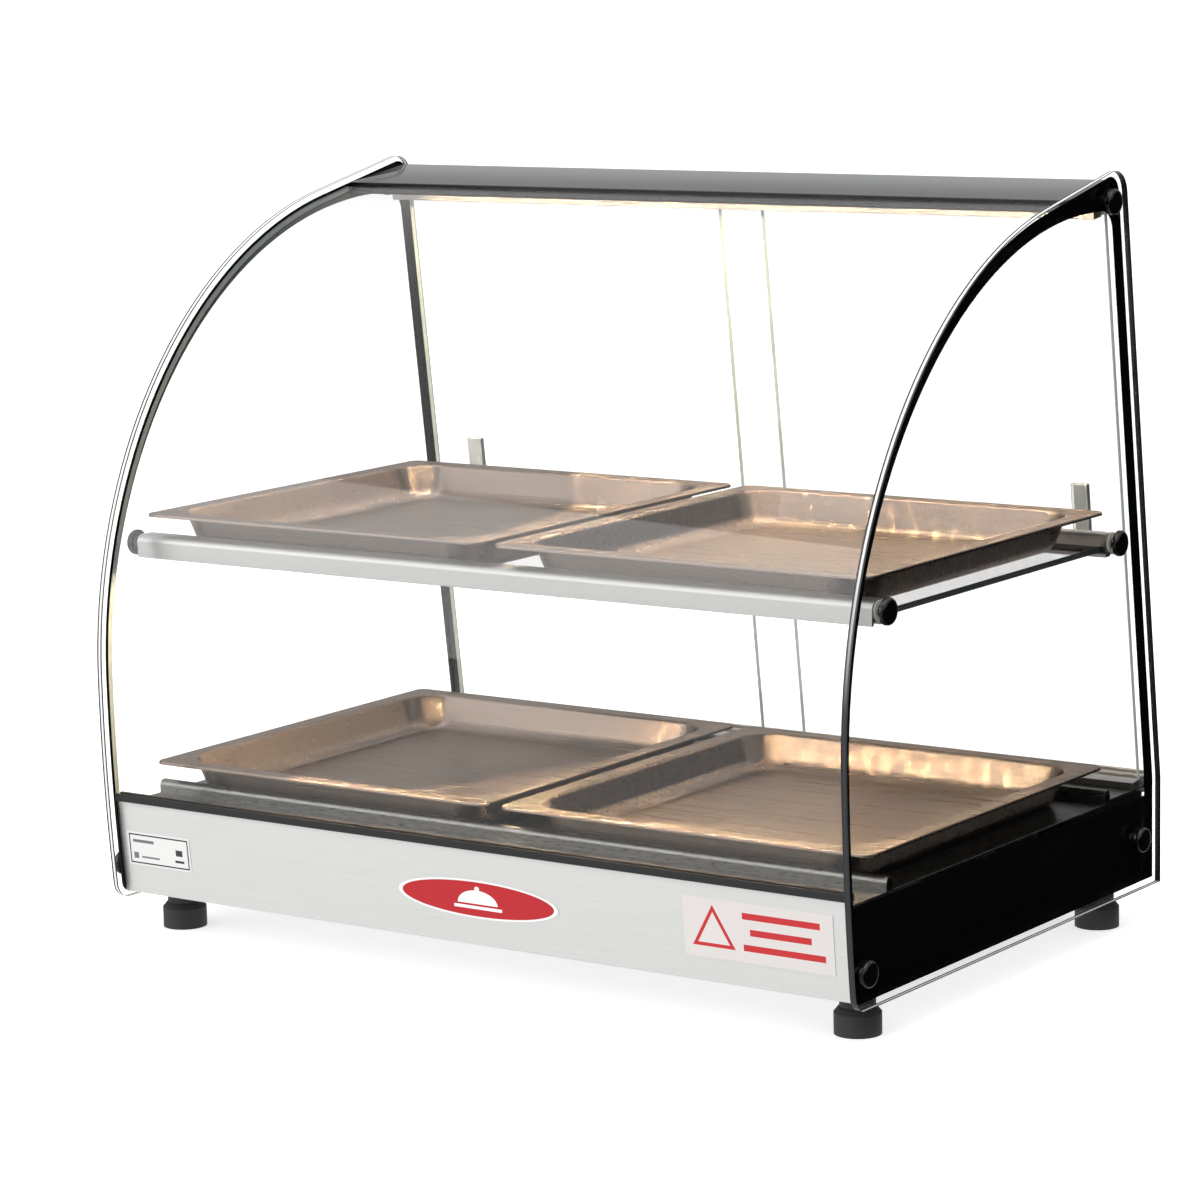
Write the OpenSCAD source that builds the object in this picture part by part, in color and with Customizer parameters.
// Hot food display case: two side glasses with a printed border carry a curved front glass,
// a narrow roof, a glass shelf on two rails and a heated base. Two sliding doors close the rear.
// X runs along the case, +Y towards the operator's side, +Z up. The origin is on the worktop,
// under the middle of the outside box.

/* [Case] */
// Width over the two side glasses
case_w = 560; // [480:1:640]
// Depth of the side glasses
case_d = 385; // [375:1:395]
// Thickness of every glass
glass_t = 4; // [3:0.5:5]
// Gap under the side glasses
floor_gap = 23; // [20:1:26]
// Height of the deck that the lower trays stand on
deck_z = 86; // [84:1:88]
// Height of the shelf glass's upper face
shelf_z = 249.5; // [240:0.5:260]

/* [Side glass outline] */
// Radius of the front curve
front_r = 302; // [296:1:308]
// Height of the foremost point
front_z = 170; // [160:1:180]
// Radius of the tucked-in front below that point
tuck_r = 1300; // [1100:10:1600]
// Rise of the top edge, in degrees
crown = 12; // [10:0.5:14]
// Forward lean of the rear edge, in degrees
lean = 7; // [6:0.5:8]
// Height at which the rear edge starts to lean
lean_z = 92; // [90:1:96]
// Radius of the top rear corner
crown_r = 15; // [12:1:18]

/* [Printed border] */
// Clear margin between the glass edge and the print
print_margin = 3.6; // [2:0.1:5]
// Outer inset of the clear window at the front
window_front = 9; // [7:0.5:12]
// Outer inset of the clear window at the rear
window_rear = 15; // [12:0.5:18]

/* [Trays] */
// Tray width over the flange
tray_w = 266; // [250:1:268]
// Tray depth over the flange, front to rear
tray_d = 286; // [270:1:288]
// Tray height
tray_h = 22.5; // [18:0.5:24]
// Distance between the centres of the left and right trays
tray_pitch = 276; // [270:1:280]

/* [Fittings] */
// Radius of the caps over the glass screws
cap_r = 8.2; // [7:0.1:10]
// Radius of a foot
foot_r = 14.2; // [12:0.1:16]
// How far the thermostat knob stands behind the side glasses
knob_proud = 8; // [6:0.5:12]

/* [Hidden] */
$fn = 48;

eps = 0.01;                      // overlap that makes a cut clean
half_w = case_w / 2;
in_x = half_w - glass_t;         // inner face of a side glass
print_t = 0.2;                   // thickness of the enamel print
fit_x = in_x - 1;                // ends of everything that spans the case
span_x = in_x - 0.6;             // ends of the front glass, the front panel and the roof
sheet = 1.2;                     // folded steel

// Outline datum points, as [y, z]
rear_y = (case_d - knob_proud) / 2;
nose_y = rear_y - case_d;
front_c = [nose_y + front_r, front_z];
tuck_c = [nose_y + tuck_r, front_z];
crown_dir = [cos(crown), sin(crown)];
crown_in = [sin(crown), -cos(crown)];
lean_dir = [-sin(lean), cos(lean)];
lean_in = [-cos(lean), -sin(lean)];
foot_corner_r = 12;

function arc(c, r, a0, a1, n) =
    [for (i = [0:n]) c + r * [cos(a0 + (a1 - a0) * i / n), sin(a0 + (a1 - a0) * i / n)]];
function cross2(a, b) = a[0] * b[1] - a[1] * b[0];
function left_of(d) = [-d[1], d[0]] / norm(d);
// Mitred line at distance t to the left of a path
function beside(path, t) = let (n = len(path) - 1) [for (i = [0:n])
    let (a = left_of(path[max(i, 1)] - path[max(i, 1) - 1]),
        b = left_of(path[min(i, n - 1) + 1] - path[min(i, n - 1)]))
    path[i] + t * (a + b) / (1 + a * b)];
// Outline of a sheet folded along a path, t thick to its left
function folded(path, t) = let (side = beside(path, t))
    concat(path, [for (i = [len(side) - 1:-1:0]) side[i]]);
function meet(p, d, q, e) = p + d * cross2(q - p, e) / cross2(d, e);

// Y of the outline's front at height z, moved inwards by i
function front_y(z, i) = z < front_z
    ? tuck_c[0] - sqrt(pow(tuck_r - i, 2) - pow(z - front_z, 2))
    : front_c[0] - sqrt(pow(front_r - i, 2) - pow(z - front_z, 2));
function front_low(i, z0, n) = [for (k = [0:n - 1]) let (z = z0 + (front_z - z0) * k / n)
    [front_y(z, i), z]];
function front_arc(i, n) = arc(front_c, front_r - i, 180, 90 + crown, n);
// The crown line meets height-independent Y at this point, moved inwards by i
function crown_at(y, i) = let (p = front_c + (front_r - i) * [-sin(crown), cos(crown)])
    [y, p[1] + (y - p[0]) * tan(crown)];

crown_c = meet(front_c + (front_r - crown_r) * [-sin(crown), cos(crown)], crown_dir,
    [rear_y, lean_z] + crown_r * lean_in, lean_dir);

function outline(i) = let (zb = floor_gap + foot_corner_r) concat(
    arc([front_y(zb, 0) + foot_corner_r, zb], foot_corner_r - i, 260, 184, 8),
    front_low(i, zb + 8, 8),
    front_arc(i, 36),
    arc(crown_c, crown_r - i, 90 + crown, lean, 10),
    [[rear_y - i, lean_z], [rear_y - i, floor_gap + i]]);

// Clear window inside the print: its front curve leaves the edge towards the roof
window_drop = 4;
window_r = front_r - window_front;
window_corner_r = 14;
window_top = front_z - window_drop + window_r;
function rear_line(z, i) = rear_y - i / cos(lean) - (z - lean_z) * tan(lean);
function window() = let (zc = window_top - window_corner_r) concat(
    [[rear_y - window_rear, deck_z - 4], [front_y(deck_z, window_front), deck_z - 1]],
    [for (k = [1:6]) let (z = deck_z + (front_z - window_drop - deck_z) * k / 7)
        [front_y(z, window_front), z]],
    arc([front_c[0], front_z - window_drop], window_r, 180, 90, 40),
    arc([rear_line(zc, window_rear) - window_corner_r, zc], window_corner_r, 90, lean, 8),
    [[rear_y - window_rear, lean_z]]);

// Rails, roof and doors
rail_w = 15.5;
rail_h = 14.5;
rail_bottom = shelf_z - 6.5;
rail_front_y = -159;
rail_rear_y = 138;
slot_d = 5.5;
rail_screw_z = shelf_z + 2;
roof_front = [73, 468.5];
roof_rise = 8;
roof_len = 61.5;
roof_t = 4;
door_t = glass_t;
left_door_n = -9;                // rear-facing offsets of the door glasses from the rear edge
right_door_n = -18.5;
track_n = -29;
track_w = 27;
groove_w = door_t + 1;
door_bottom_u = -0.5;
door_top_u = 374;
top_track_u = 368;
top_track_h = 13;
left_door_x = [-(fit_x - 2.2), 16];
right_door_x = [-11, fit_x - 2.2];
pull_size = [12, 4.5, 36];
pull_u = 159;
pull_x = 241;

// Screw positions of one side glass, as [y, z, length of the screw inside the glass]
screws = [[-152, rail_screw_z, 18], [130, rail_screw_z, 18], [-177, 45, 4.5],
    [161, 56, 4.5], [121.7, 464.5, 4.5]];
screw_r = 2;
bush_r = 3.1;

// Base
base_z = floor_gap + 4;
panel_inset = 6;
panel_top = deck_z + 2.5;
deck_front_y = front_y(91, 11.7);
rear_panel_y = 171.5;
panel_screw_x = [-250, 0, 250];
panel_screw_z = 33.5;
ledge_z = deck_z + 2;
front_rib_y = -146;
rear_rib_y = 121;
rib_w = 8;
rib_h = 8.5;
foot_pos = [[-256, -148], [256, -148], [-256, 147], [256, 147]];
foot_neck_r = 10.8;

// Controls on the rear panel, as [x, z]
knob_pos = [-205, 55];
switch_pos = [-120, 55];
lamp_pos = [-160, 55];
gland_pos = [215, 50];
knob_end = rear_y + knob_proud;
rocker_size = [11.6, 17.6];
rocker_tilt = 9;

heater_r = 3.25;
heater_z = deck_z - sheet - heater_r - 2;
heater_rows = [-100, -60, 40, 80];
heater_x = 200;

// A section drawn as [y, z] and carried along X from x0 to x1
module along_x(x0, x1) {
    translate([x0, 0, 0]) rotate([90, 0, 90]) linear_extrude(x1 - x0) children();
}

// The doors' leaning frame: y is measured out of the rear edge and z up along it
module leaning() {
    translate([0, rear_y, lean_z]) rotate([lean, 0, 0]) children();
}

module x_rod(x0, x1, y, z, r) {
    translate([x0, y, z]) rotate([0, 90, 0]) cylinder(h = x1 - x0, r = r);
}

module y_rod(x, y0, y1, z, r) {
    translate([x, y0, z]) rotate([-90, 0, 0]) cylinder(h = y1 - y0, r = r);
}

// Both ends of the case, side = -1 for the left and 1 for the right
module at_end(side, x) {
    translate([side * x, 0, 0]) mirror([side < 0 ? 1 : 0, 0, 0]) children();
}

module side_glass(side) {
    color("#DDE8E4", 0.3) difference() {
        at_end(side, in_x) along_x(0, glass_t) polygon(outline(0));
        for (s = screws) x_rod(-half_w - 1, half_w + 1, s[0], s[1], bush_r + 0.1);
    }
}
module left_side_glass() { side_glass(-1); }
module right_side_glass() { side_glass(1); }

module glass_border(side) {
    color("#08080A") difference() {
        at_end(side, in_x - print_t) along_x(0, print_t) difference() {
            polygon(outline(print_margin));
            polygon(window());
        }
        for (s = screws) x_rod(-half_w, half_w, s[0], s[1], bush_r + 0.1);
    }
}
module left_glass_border() { glass_border(-1); }
module right_glass_border() { glass_border(1); }

// Curved glass between the side glasses, from the seal up to the roof's front edge
module front_glass() {
    i = 5.2;
    z0 = 90.3;
    y1 = roof_front[0] - 1.5;
    outer = concat(front_low(i, z0, 5), front_arc(i, 36), [crown_at(y1, i)]);
    inner = concat(front_low(i + glass_t, z0, 5), front_arc(i + glass_t, 36),
        [crown_at(y1, i + glass_t)]);
    color("#DDE8E4", 0.3) along_x(-span_x, span_x)
        polygon(concat(outer, [for (k = [len(inner) - 1:-1:0]) inner[k]]));
}

// Channel that the front glass stands in, on top of the front panel
module front_glass_seal() {
    z0 = panel_top + 0.1;
    z1 = 93.6;
    color("#17181A") along_x(-span_x, span_x) polygon([
        [front_y(z0, 4), z0], [front_y(z1, 4), z1], [front_y(z1, 5.1), z1],
        [front_y(90.2, 5.1), 90.2], [front_y(90.2, 9.3), 90.2], [front_y(z1, 9.3), z1],
        [front_y(z1, 11.5), z1], [front_y(z0, 11.5), z0]]);
}

// Curved satin panel with a return flange along its top and its bottom
module front_panel() {
    steps = 6;
    z0 = base_z + 1;
    skin = [for (k = [0:steps]) let (z = z0 + (panel_top - z0) * k / steps)
        [front_y(z, panel_inset), z]];
    color("#CFCFCC") along_x(-span_x, span_x) polygon(folded(concat(
        [[skin[steps][0] + 5.5, panel_top]], [for (k = [steps:-1:0]) skin[k]],
        [[skin[0][0] + 12, z0]]), sheet));
}

// Folded tray that closes the base from below
module base_pan() {
    x = fit_x - 2.5;
    y0 = -170;
    y1 = rear_panel_y - 0.3;
    color("#8E9092") difference() {
        translate([-x, y0, base_z]) cube([2 * x, y1 - y0, 12]);
        translate([-x + sheet, y0 + sheet, base_z + sheet])
            cube([2 * (x - sheet), y1 - y0 - 2 * sheet, 12]);
        for (p = foot_pos) translate([p[0], p[1], base_z - 1]) cylinder(h = 4, r = 2.3);
        for (k = [-4:4]) translate([k * 30 - 2, -60, base_z - 1]) cube([4, 60, 4]);
        for (x = panel_screw_x) y_rod(x, 160, 180, panel_screw_z, screw_r);
    }
}

// Steel end of the base, behind the black part of the print
module end_plate(side) {
    color("#3A3B3D") difference() {
        at_end(side, fit_x - 1.9) along_x(0, 1.5) polygon([
            [front_y(base_z + 2.6, 9), base_z + 2.6], [front_y(55, 9), 55],
            [front_y(80, 9), 80], [rear_panel_y - 0.3, 80], [rear_panel_y - 0.3, base_z + 2.6]]);
        for (s = screws) x_rod(-half_w, half_w, s[0], s[1], screw_r + 0.05);
    }
}
module left_end_plate() { end_plate(-1); }
module right_end_plate() { end_plate(1); }

module rear_panel() {
    color("#B9BAB8") difference() {
        translate([-fit_x + 0.2, rear_panel_y, base_z])
            cube([2 * (fit_x - 0.2), sheet, ledge_z - 2 * sheet - base_z - 0.3]);
        y_rod(knob_pos[0], 160, 180, knob_pos[1], 4);
        y_rod(lamp_pos[0], 160, 180, lamp_pos[1], 5.1);
        y_rod(gland_pos[0], 160, 180, gland_pos[1], 8.1);
        translate([switch_pos[0] - 6.6, 160, switch_pos[1] - 9.6]) cube([13.2, 20, 19.2]);
        for (x = panel_screw_x) y_rod(x, 160, 180, panel_screw_z, screw_r);
        for (k = [0:7]) translate([20 + 14 * k, 160, 44]) cube([3, 20, 24]);
    }
}

// Half-hoop rib pressed up out of the deck, as a path from its front to its rear
function rib(y) = let (r = rib_w / 2) concat([[y, deck_z]],
    arc([y + r, deck_z + rib_h - r], r, 180, 0, 10));

// Stainless deck with a rib in front of the trays and one behind them
module deck_plate() {
    back_y = rear_y - 1.5;
    color("#8A8A88") along_x(-fit_x, fit_x) polygon(folded(concat(
        [[deck_front_y, deck_z]], rib(front_rib_y), [[front_rib_y + rib_w, deck_z]],
        rib(rear_rib_y), [[rear_rib_y + rib_w, ledge_z], [back_y, ledge_z],
        [back_y, ledge_z - 7]]), -sheet));
}

module on_roof() {
    translate([0, roof_front[0], roof_front[1]]) rotate([roof_rise, 0, 0]) children();
}

module roof_panel() {
    color("#4A4C50") on_roof()
        translate([-span_x, 0, -roof_t]) cube([2 * span_x, roof_len, roof_t]);
}

// Slim black section under the roof's front edge: it houses the LED strip and its cover
module roof_front_profile() {
    color("#1B1C1E") on_roof() along_x(-fit_x + 3.5, fit_x - 3.5) polygon([
        [-1, -4.1], [19, -4.1], [19, -5.4], [14, -5.4], [14, -7.6], [12.8, -7.6],
        [12.8, -5], [3, -5], [3, -7.6], [-1, -7.6]]);
}

module roof_bracket(side) {
    color("#2A2B2D") difference() {
        at_end(side, fit_x - 1.7) along_x(0, 1.5) polygon([
            [92.4, 466.7], [92.4, 461.5], [133, 461.5], [134, 462.5], [134, 466],
            [128, 471.8]]);
        for (s = screws) x_rod(-half_w, half_w, s[0], s[1], screw_r + 0.05);
    }
}
module left_roof_bracket() { roof_bracket(-1); }
module right_roof_bracket() { roof_bracket(1); }

module track_grooves(u0, u1) {
    for (n = [left_door_n, right_door_n])
        translate([-half_w, n - 0.5, u0]) cube([case_w, groove_w, u1 - u0]);
}

module door_top_track() {
    x = fit_x - 3.7;
    color("#A9ABAC") leaning() difference() {
        translate([-x, track_n, top_track_u]) cube([2 * x, track_w, top_track_h]);
        track_grooves(top_track_u - 1, top_track_u + 10);
    }
}

module door_bottom_track() {
    color("#A9ABAC") difference() {
        leaning() difference() {
            translate([-fit_x, track_n, -8]) cube([2 * fit_x, track_w, 12]);
            track_grooves(-0.8, 5);
        }
        translate([-half_w, 140, 70]) cube([case_w, 60, ledge_z - 70 + 0.05]);
    }
}

module door(xs, n) {
    color("#DDE8E4", 0.3) leaning() translate([xs[0], n, door_bottom_u])
        cube([xs[1] - xs[0], door_t, door_top_u - door_bottom_u]);
}
module left_door() { door(left_door_x, left_door_n); }
module right_door() { door(right_door_x, right_door_n); }

module door_pull(x, n) {
    color("#E6EBEA", 0.6) leaning()
        translate([x - pull_size[0] / 2, n + door_t, pull_u]) cube(pull_size);
}
module left_door_pull() { door_pull(-pull_x, left_door_n); }
module right_door_pull() { door_pull(pull_x, right_door_n); }

module shelf_glass() {
    x = fit_x - 5;
    y0 = rail_front_y + rail_w - slot_d + 0.4;
    y1 = rail_rear_y - rail_w + slot_d - 0.4;
    color("#DDE8E4", 0.3) translate([-x, y0, shelf_z - glass_t])
        cube([2 * x, y1 - y0, glass_t]);
}

// Rail section with its slot towards +Y: round nose, slot for the shelf, channel for an LED
module rail_section() {
    z0 = rail_bottom;
    z1 = rail_bottom + rail_h;
    r = 4.5;
    difference() {
        polygon(concat([[0, z0]], arc([r, z1 - r], r, 180, 90, 8),
            [[rail_w - 1, z1], [rail_w, z1 - 1], [rail_w, z0]]));
        translate([rail_w - slot_d, shelf_z - glass_t - 0.2]) square([slot_d + 1, glass_t + 0.4]);
        translate([2, z0 - 1]) square([7, 3]);
    }
}

module shelf_rail(front) {
    y = front ? rail_front_y : rail_rear_y;
    color("#B7B8B8") difference() {
        translate([0, y, 0]) mirror([0, front ? 0 : 1, 0]) along_x(-fit_x, fit_x) rail_section();
        for (s = screws, side = [-1, 1])
            x_rod(side < 0 ? -half_w : half_w - 25, side < 0 ? -half_w + 25 : half_w,
                s[0], s[1], screw_r + 0.05);
    }
}
module shelf_front_rail() { shelf_rail(true); }
module shelf_rear_rail() { shelf_rail(false); }

module roof_led_strip() {
    color("#F2EEDC") on_roof() translate([-265, 3.4, -5.9]) cube([530, 9, 0.8]);
}
module shelf_led_strip() {
    color("#F2EEDC") translate([-268, rail_front_y + 2.5, rail_bottom + 1])
        cube([536, 6, 0.8]);
}
module roof_led_lens() {
    color("#FFF3D6", 0.8) on_roof() translate([-265, 3.1, -7.5]) cube([530, 9.6, 1.5]);
}
module shelf_led_lens() {
    color("#FFF3D6", 0.8) translate([-268, rail_front_y + 2.2, rail_bottom - 0.4])
        cube([536, 6.6, 1.2]);
}

// Solid of a tray's bowl, shrunk by g on every side; it reaches top_z
module bowl(g, top_z) {
    rings = [[0, 28, 14], [1.2, 24, 17], [3.5, 20.5, 20], [8, 17.5, 22], [tray_h, 12, 26]];
    hull() for (ring = rings, sx = [-1, 1], sy = [-1, 1]) {
        r = ring[2] - g;
        z = ring[0] == tray_h ? top_z : ring[0] + g;
        translate([sx * (tray_w / 2 - ring[1] - ring[2]), sy * (tray_d / 2 - ring[1] - ring[2]),
            z - 0.05]) cylinder(h = 0.05, r = r, $fn = 32);
    }
}

module rounded_plate(w, d, h, r) {
    linear_extrude(h) polygon(concat(
        arc([w / 2 - r, d / 2 - r], r, 0, 90, 5), arc([-w / 2 + r, d / 2 - r], r, 90, 180, 5),
        arc([-w / 2 + r, -d / 2 + r], r, 180, 270, 5),
        arc([w / 2 - r, -d / 2 + r], r, 270, 360, 5)));
}

// Pressed tray: flat flange with a turned-down edge and a shallow bowl
module tray(x, y, z) {
    t = 0.9;
    lip = 2;
    color("#B4ACA4") translate([x, y, z]) difference() {
        union() {
            bowl(0, tray_h);
            translate([0, 0, tray_h - lip]) difference() {
                rounded_plate(tray_w, tray_d, lip, 6);
                translate([0, 0, -eps]) rounded_plate(tray_w - 2 * t, tray_d - 2 * t, lip - t, 5);
            }
        }
        bowl(t, tray_h + 1);
    }
}
module upper_left_tray() { tray(3.5 - tray_pitch / 2, -17, shelf_z + 0.05); }
module upper_right_tray() { tray(3.5 + tray_pitch / 2, -18.5, shelf_z + 0.05); }
module lower_left_tray() { tray(-1.3 - tray_pitch / 2, -10.5, deck_z + 0.05); }
module lower_right_tray() { tray(-1.3 + tray_pitch / 2, -11.3, deck_z + 0.05); }

// Domed caps over the heads of the glass screws
module glass_caps(side) {
    color("#1C1C20") for (s = screws) at_end(side, half_w) translate([0, s[0], s[1]])
        rotate([0, 90, 0]) difference() {
            rotate_extrude() polygon(concat([[0, 0], [cap_r, 0], [cap_r, 1.5]],
                arc([cap_r - 2.5, 1.5], 2.5, 15, 90, 4), [[0, 4.5]]));
            translate([0, 0, -1]) cylinder(h = 3.4, r = 4.2);
        }
}
module left_glass_caps() { glass_caps(-1); }
module right_glass_caps() { glass_caps(1); }

module glass_screws() {
    color("#A8A8AC") for (side = [-1, 1], s = screws) at_end(side, half_w) {
        x_rod(-glass_t - s[2], 0, s[0], s[1], screw_r);
        x_rod(0, 2, s[0], s[1], 3.6);
    }
}

// Flanged nylon bushes between the screws and the glass
module glass_bushes() {
    color("#D8D8D4") for (side = [-1, 1], s = screws) at_end(side, half_w) difference() {
        union() {
            x_rod(-glass_t, -0.1, s[0], s[1], bush_r);
            x_rod(-glass_t - 0.9, -glass_t - print_t - 0.05, s[0], s[1], 6);
            x_rod(-glass_t - print_t - 0.1, -glass_t + 0.1, s[0], s[1], bush_r);
        }
        x_rod(-20, 2, s[0], s[1], screw_r + 0.05);
    }
}

module foot(k) {
    p = foot_pos[k];
    color("#2F2F31") translate([p[0], p[1], 0]) difference() {
        union() {
            cylinder(h = 13, r = foot_r);
            translate([0, 0, 13 - eps]) cylinder(h = 3, r1 = foot_r, r2 = foot_r - 2.5);
            translate([0, 0, 15]) cylinder(h = base_z - 15.1, r = foot_neck_r);
        }
        translate([0, 0, -1]) cylinder(h = 40, r = screw_r + 0.05);
        translate([0, 0, -1]) cylinder(h = 7, r = 4.2);
    }
}
module front_left_foot() { foot(0); }
module front_right_foot() { foot(1); }
module rear_left_foot() { foot(2); }
module rear_right_foot() { foot(3); }

module foot_screws() {
    color("#A8A8AC") for (p = foot_pos) translate([p[0], p[1], 0]) {
        translate([0, 0, 6]) cylinder(h = base_z - 6 + sheet + 4, r = screw_r);
        translate([0, 0, 3.8]) cylinder(h = 2.2, r = 3.6);
        translate([0, 0, base_z + sheet + 0.1]) cylinder(h = 3.2, r = 3.8, $fn = 6);
    }
}

// Tubular heater in two hairpins under the deck
module heating_element() {
    color("#4D4A47") for (k = [0, 2]) {
        y0 = heater_rows[k];
        y1 = heater_rows[k + 1];
        for (y = [y0, y1]) {
            x_rod(-heater_x, heater_x, y, heater_z, heater_r);
            x_rod(-heater_x - 12, -heater_x, y, heater_z, 1.6);
        }
        translate([heater_x, (y0 + y1) / 2, heater_z]) rotate([0, 0, -90])
            rotate_extrude(angle = 180) translate([(y1 - y0) / 2, 0]) circle(r = heater_r);
    }
}

module heater_clamps() {
    color("#9A9A98") for (x = [-150, 150], k = [0, 2]) {
        y0 = heater_rows[k] - 8;
        translate([x - 6, y0, heater_z - heater_r - sheet - 0.1])
            cube([12, heater_rows[k + 1] - y0 + 8, sheet]);
        for (y = [y0 - sheet, heater_rows[k + 1] + 8])
            translate([x - 6, y, heater_z - heater_r - sheet - 0.1])
                cube([12, sheet, deck_z - 2 * sheet - heater_z + heater_r + 1.2]);
    }
}

module thermostat_body() {
    x = knob_pos[0];
    z = knob_pos[1];
    color("#D9D5C8") union() {
        translate([x - 19, 138, z - 17]) cube([38, 30, 34]);
        y_rod(x, 167.9, rear_panel_y, z, 5.5);
        y_rod(x, 167.9, 190, z, 2.95);
    }
}

module thermostat_bulb() {
    color("#B87333") x_rod(-120, -30, -20, heater_z + 0.5, 3);
}

// Round knob with a raised grip bar and a pointer
module thermostat_knob() {
    y0 = rear_panel_y + sheet + 0.8;
    color("#1B1B1D") translate([knob_pos[0], y0, knob_pos[1]]) rotate([-90, 0, 0])
        difference() {
            union() {
                cylinder(h = 3, r = 17);
                cylinder(h = 12, r = 13.5);
                translate([-4, -13, 0]) cube([8, 26, knob_end - y0]);
            }
            translate([0, 0, -1]) cylinder(h = 17.5, r = 3);
        }
}

module switch_housing() {
    x = switch_pos[0];
    z = switch_pos[1];
    color("#202022") difference() {
        union() {
            translate([x - 7.5, rear_panel_y + sheet, z - 10.5]) cube([15, 2, 21]);
            translate([x - 6.4, 150, z - 9.4]) cube([12.8, rear_panel_y + sheet - 150 + eps, 18.8]);
        }
        translate([x - 6, 164, z - 9]) cube([12, 20, 18]);
    }
}

// Rocker with its pivot on the housing's axis
rocker_y = rear_panel_y - 1;
module switch_rocker() {
    w = rocker_size[0];
    color("#2C6E3A") translate([switch_pos[0], rocker_y, switch_pos[1]])
        rotate([rocker_tilt, 0, 0]) union() {
            translate([-w / 2, -0.4, -7.8]) cube([w, 4.9, 15.6]);
            x_rod(-w / 2, w / 2, 0, 0, 2.4);
        }
}

module pilot_lamp() {
    x = lamp_pos[0];
    z = lamp_pos[1];
    color("#E08A1E") union() {
        y_rod(x, 150, rear_panel_y + sheet + 1, z, 5);
        y_rod(x, rear_panel_y + sheet, rear_panel_y + sheet + 1.5, z, 6.5);
        translate([x, rear_panel_y + sheet + 1.5, z]) rotate([-90, 0, 0])
            cylinder(h = 2.5, r1 = 5, r2 = 3.2);
    }
}

module terminal_block() {
    color("#E9E6DA") translate([140, 120, base_z + sheet + 0.1]) difference() {
        cube([46, 20, 18]);
        for (k = [0:3]) translate([6 + 11.3 * k, 10, 8]) cylinder(h = 20, r = 2.5);
    }
}

module led_driver() {
    color("#E4E4E0") translate([-60, 100, base_z + sheet + 0.1]) cube([72, 42, 24]);
}

module cable_gland() {
    color("#242426") difference() {
        union() {
            y_rod(gland_pos[0], 158, rear_panel_y + sheet + 1, gland_pos[1], 8);
            translate([gland_pos[0], rear_panel_y + sheet + 0.05, gland_pos[1]])
                rotate([-90, 0, 0]) cylinder(h = 5, r = 11.5, $fn = 6);
            y_rod(gland_pos[0], rear_panel_y + 6, 189, gland_pos[1], 8.6);
        }
        y_rod(gland_pos[0], 150, 200, gland_pos[1], 4);
    }
}

module gland_nut() {
    color("#242426") difference() {
        translate([gland_pos[0], 166.3, gland_pos[1]]) rotate([-90, 0, 0])
            cylinder(h = 5, r = 11.5, $fn = 6);
        y_rod(gland_pos[0], 160, 175, gland_pos[1], 8.05);
    }
}

module rear_panel_screws() {
    color("#A8A8AC") for (x = panel_screw_x) {
        y_rod(x, 165, rear_panel_y + sheet, panel_screw_z, screw_r - 0.1);
        y_rod(x, rear_panel_y + sheet, rear_panel_y + sheet + 2, panel_screw_z, 3.6);
    }
}

// Thin sticker on the front panel, between two heights and two places along X
module sticker(xs, zs) {
    steps = 4;
    t = 0.3;
    hs = [for (k = [0:steps]) zs[0] + (zs[1] - zs[0]) * k / steps];
    along_x(xs[0], xs[1]) polygon(concat(
        [for (z = hs) [front_y(z, panel_inset - t), z]],
        [for (k = [steps:-1:0]) [front_y(hs[k], panel_inset - 0.02), hs[k]]]));
}
module data_label() { color("#F2F2F0") sticker([-269, -217], [47, 69]); }
module warning_label() { color("#EEEDE9") sticker([161, 264], [43, 79.5]); }
module front_badge() { color("#C8202A") sticker([-50, 71], [45, 70]); }

left_side_glass();
right_side_glass();
left_glass_border();
right_glass_border();
front_glass();
front_glass_seal();
front_panel();
base_pan();
left_end_plate();
right_end_plate();
rear_panel();
deck_plate();
roof_panel();
roof_front_profile();
left_roof_bracket();
right_roof_bracket();
door_top_track();
door_bottom_track();
left_door();
right_door();
left_door_pull();
right_door_pull();
shelf_glass();
shelf_front_rail();
shelf_rear_rail();
roof_led_strip();
shelf_led_strip();
roof_led_lens();
shelf_led_lens();
upper_left_tray();
upper_right_tray();
lower_left_tray();
lower_right_tray();
left_glass_caps();
right_glass_caps();
glass_screws();
glass_bushes();
front_left_foot();
front_right_foot();
rear_left_foot();
rear_right_foot();
foot_screws();
heating_element();
heater_clamps();
thermostat_body();
thermostat_bulb();
thermostat_knob();
switch_housing();
switch_rocker();
pilot_lamp();
terminal_block();
led_driver();
cable_gland();
gland_nut();
rear_panel_screws();
data_label();
warning_label();
front_badge();
